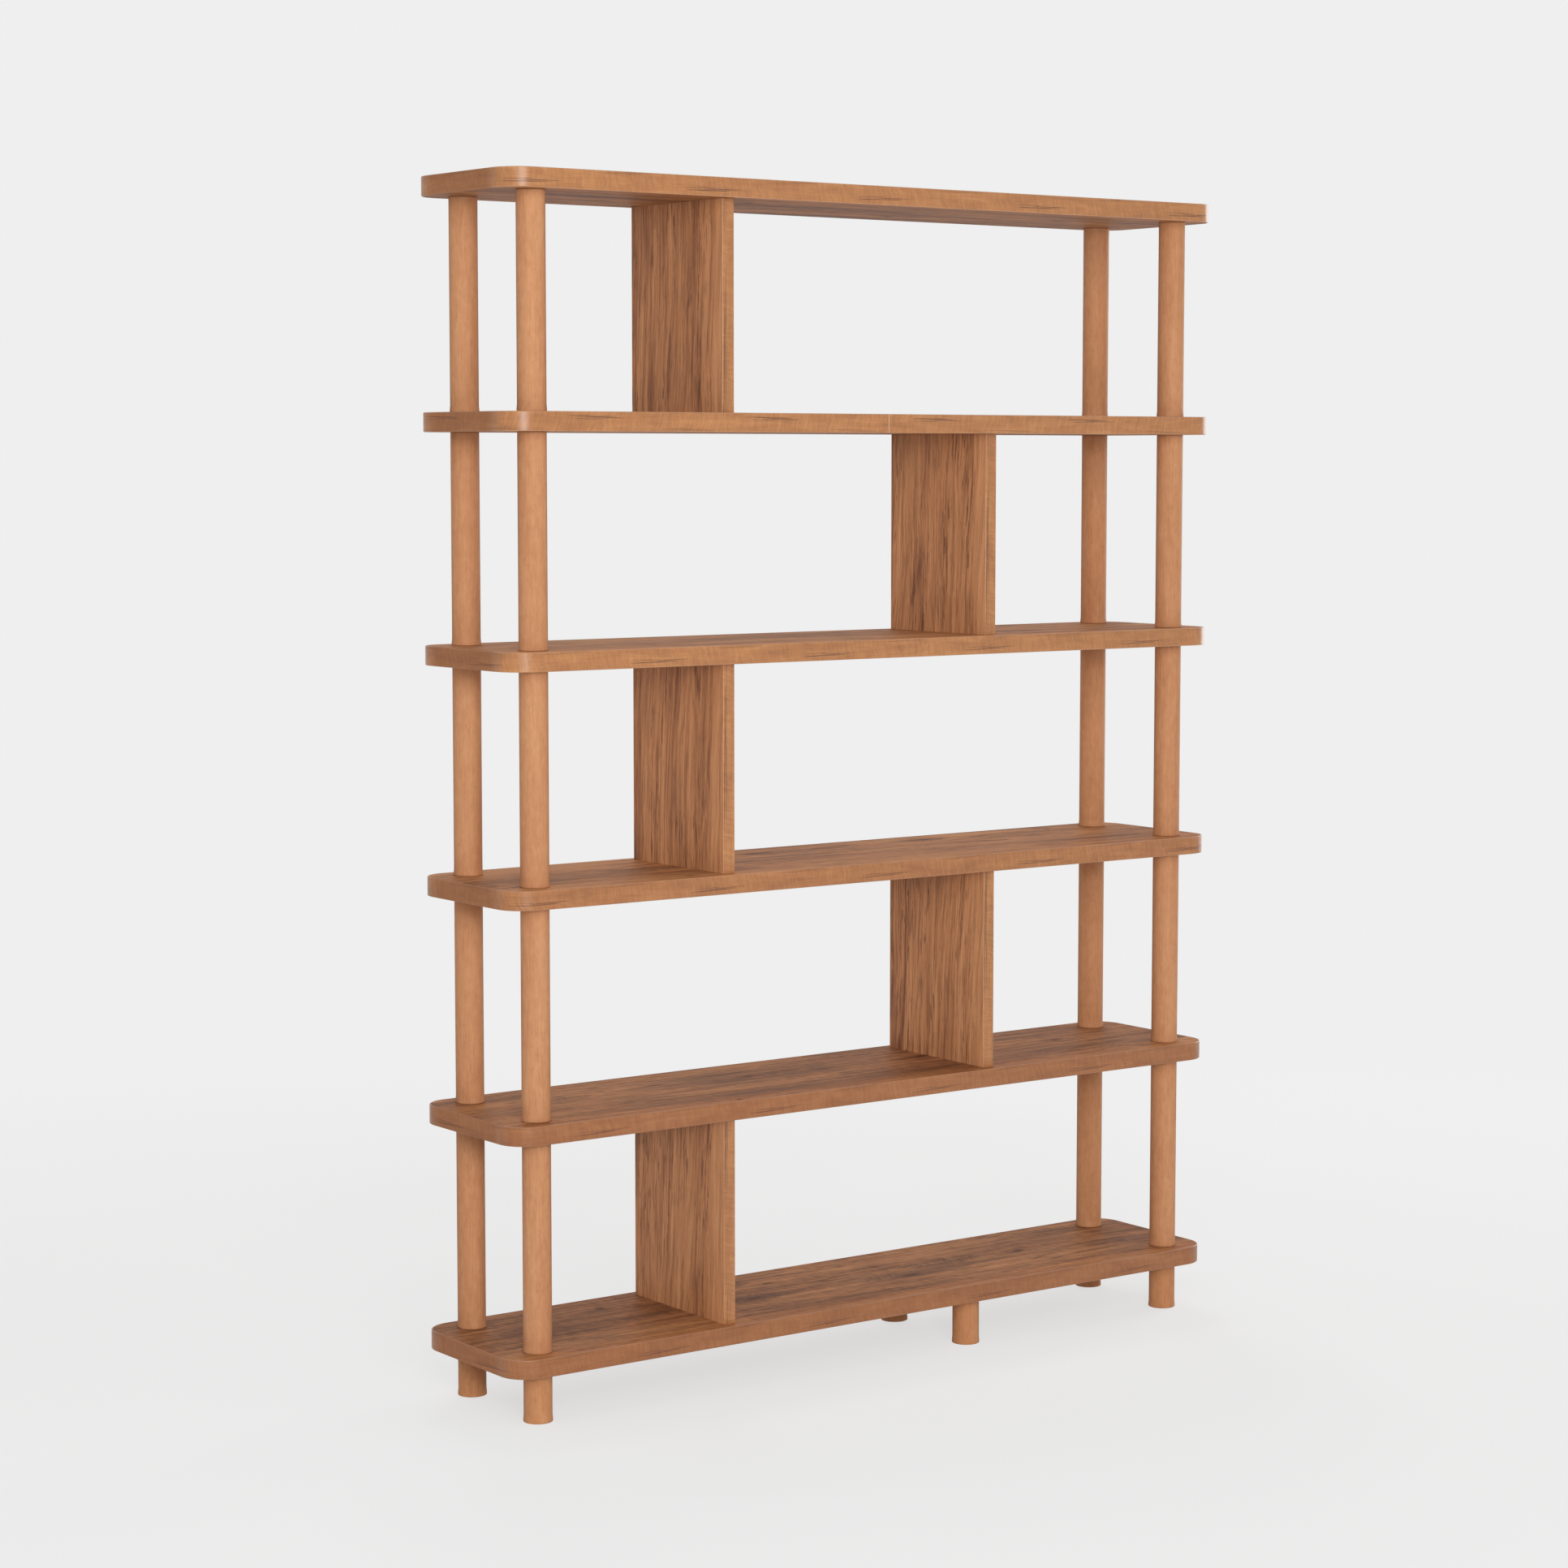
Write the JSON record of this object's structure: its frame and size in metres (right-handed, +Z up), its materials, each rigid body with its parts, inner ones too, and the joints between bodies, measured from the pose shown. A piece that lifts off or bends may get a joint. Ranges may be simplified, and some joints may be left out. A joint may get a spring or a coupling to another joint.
{
  "type": "bookcase",
  "caption": "Tall open bookcase of long round-cornered shelves on round wooden posts, with upright dividers set left and right by turns and short levelling feet.",
  "frame": {"origin": "on the floor, under the middle of the shelves: centre of the bounding box's bottom face", "axes": "+Z up; X along the shelves, +X to the right of someone facing the front; the front faces -Y"},
  "size_m": [1.17, 0.238, 1.575],
  "materials": {
    "shelf_board": "warm mid-brown pine decor, long grain, satin",
    "shelf_edge": "warm orange-brown edge band, grain along the edge, satin with a soft sheen on the corners",
    "divider_board": "warm mid-brown pine decor, upright grain, satin",
    "post_wood": "light orange-tan beech, fine upright grain, matt",
    "foot_wood": "light orange-tan beech, fine upright grain, matt",
    "stud_steel": "black-oxide threaded rod",
    "insert_zinc": "zinc-plated threaded insert",
    "dowel_beech": "plain beech dowel"
  },
  "bodies": {
    "bookcase": {"divider_1": "divider_board", "divider_2": "divider_board", "divider_3": "divider_board", "divider_4": "divider_board", "divider_5": "divider_board", "dowels_left": "dowel_beech", "dowels_right": "dowel_beech", "post_1_back_left": "post_wood", "post_1_back_right": "post_wood", "post_1_front_left": "post_wood", "post_1_front_right": "post_wood", "post_2_back_left": "post_wood", "post_2_back_right": "post_wood", "post_2_front_left": "post_wood", "post_2_front_right": "post_wood", "post_3_back_left": "post_wood", "post_3_back_right": "post_wood", "post_3_front_left": "post_wood", "post_3_front_right": "post_wood", "post_4_back_left": "post_wood", "post_4_back_right": "post_wood", "post_4_front_left": "post_wood", "post_4_front_right": "post_wood", "post_5_back_left": "post_wood", "post_5_back_right": "post_wood", "post_5_front_left": "post_wood", "post_5_front_right": "post_wood", "post_inserts": "insert_zinc", "post_studs_1": "stud_steel", "post_studs_2": "stud_steel", "post_studs_3": "stud_steel", "post_studs_4": "stud_steel", "post_studs_5": "stud_steel", "shelf_board_1": "shelf_board", "shelf_board_2": "shelf_board", "shelf_board_3": "shelf_board", "shelf_board_4": "shelf_board", "shelf_board_5": "shelf_board", "shelf_board_6": "shelf_board", "shelf_edge_1": "shelf_edge", "shelf_edge_2": "shelf_edge", "shelf_edge_3": "shelf_edge", "shelf_edge_4": "shelf_edge", "shelf_edge_5": "shelf_edge", "shelf_edge_6": "shelf_edge", "shelf_inserts": "insert_zinc"},
    "foot_front_left": {"foot_front_left": "foot_wood", "foot_stud_front_left": "stud_steel"},
    "foot_front_right": {"foot_front_right": "foot_wood", "foot_stud_front_right": "stud_steel"},
    "foot_back_left": {"foot_back_left": "foot_wood", "foot_stud_back_left": "stud_steel"},
    "foot_back_right": {"foot_back_right": "foot_wood", "foot_stud_back_right": "stud_steel"},
    "foot_front_middle": {"foot_front_middle": "foot_wood", "foot_stud_front_middle": "stud_steel"},
    "foot_back_middle": {"foot_back_middle": "foot_wood", "foot_stud_back_middle": "stud_steel"}
  },
  "joints": [
    {"name": "front_left_foot_screw", "type": "slide", "parent": "bookcase", "child": "foot_front_left", "axis": [0, 0, -1], "range_m": [0, 0.008]},
    {"name": "front_right_foot_screw", "type": "slide", "parent": "bookcase", "child": "foot_front_right", "axis": [0, 0, -1], "range_m": [0, 0.008]},
    {"name": "back_left_foot_screw", "type": "slide", "parent": "bookcase", "child": "foot_back_left", "axis": [0, 0, -1], "range_m": [0, 0.008]},
    {"name": "back_right_foot_screw", "type": "slide", "parent": "bookcase", "child": "foot_back_right", "axis": [0, 0, -1], "range_m": [0, 0.008]},
    {"name": "front_middle_foot_screw", "type": "slide", "parent": "bookcase", "child": "foot_front_middle", "axis": [0, 0, -1], "range_m": [0, 0.008]},
    {"name": "back_middle_foot_screw", "type": "slide", "parent": "bookcase", "child": "foot_back_middle", "axis": [0, 0, -1], "range_m": [0, 0.008]}
  ]
}
